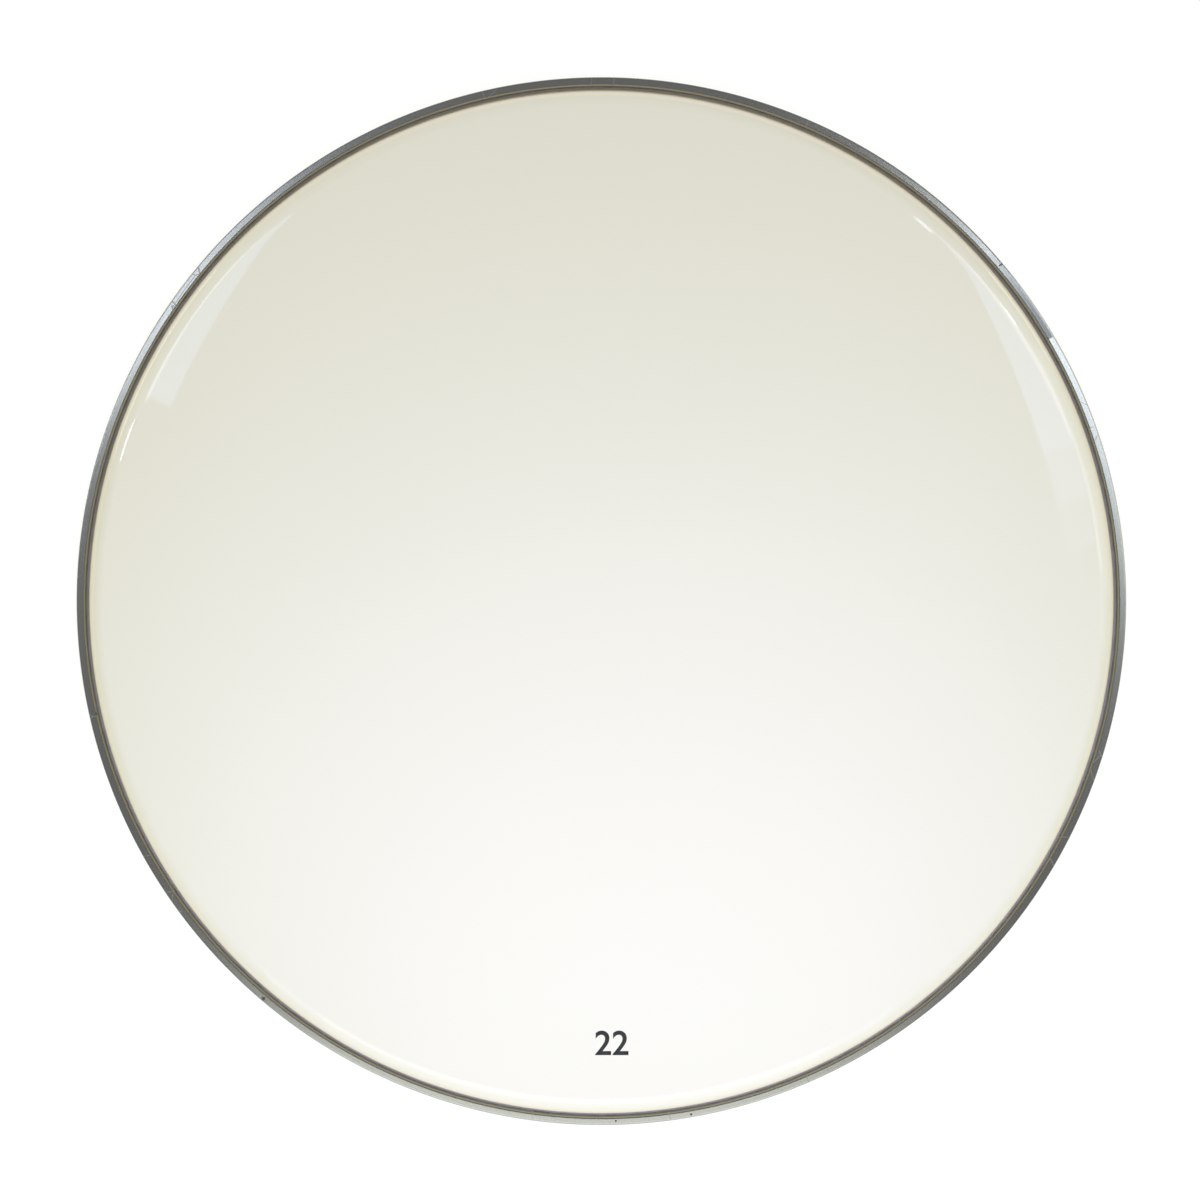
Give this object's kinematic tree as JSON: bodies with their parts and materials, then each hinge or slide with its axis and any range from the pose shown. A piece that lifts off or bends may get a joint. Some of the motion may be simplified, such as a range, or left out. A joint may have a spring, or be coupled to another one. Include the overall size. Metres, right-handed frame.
{
  "type": "drum head",
  "caption": "Round drum head: a milky white plastic film with a moulded collar, locked by cast resin in a rolled aluminium hoop that seats over the end of a drum shell.",
  "frame": {"origin": "centre of the hoop's base plane, on the drum's axis", "axes": "+Z along the drum's axis, from the hoop's base towards the film; +X and +Y are the picture's right and up"},
  "size_m": [0.5748, 0.5748, 0.0258],
  "materials": {
    "milky_film": "smooth glossy milky white film",
    "satin_aluminium": "satin, with rolling lines along the hoop",
    "cast_resin": "cast, pale grey",
    "pin_steel": "drawn"
  },
  "bodies": {
    "root": {"head_film": "milky_film", "hoop_channel": "satin_aluminium", "resin_bond": "cast_resin", "splice_pin": "pin_steel"}
  },
  "joints": []
}
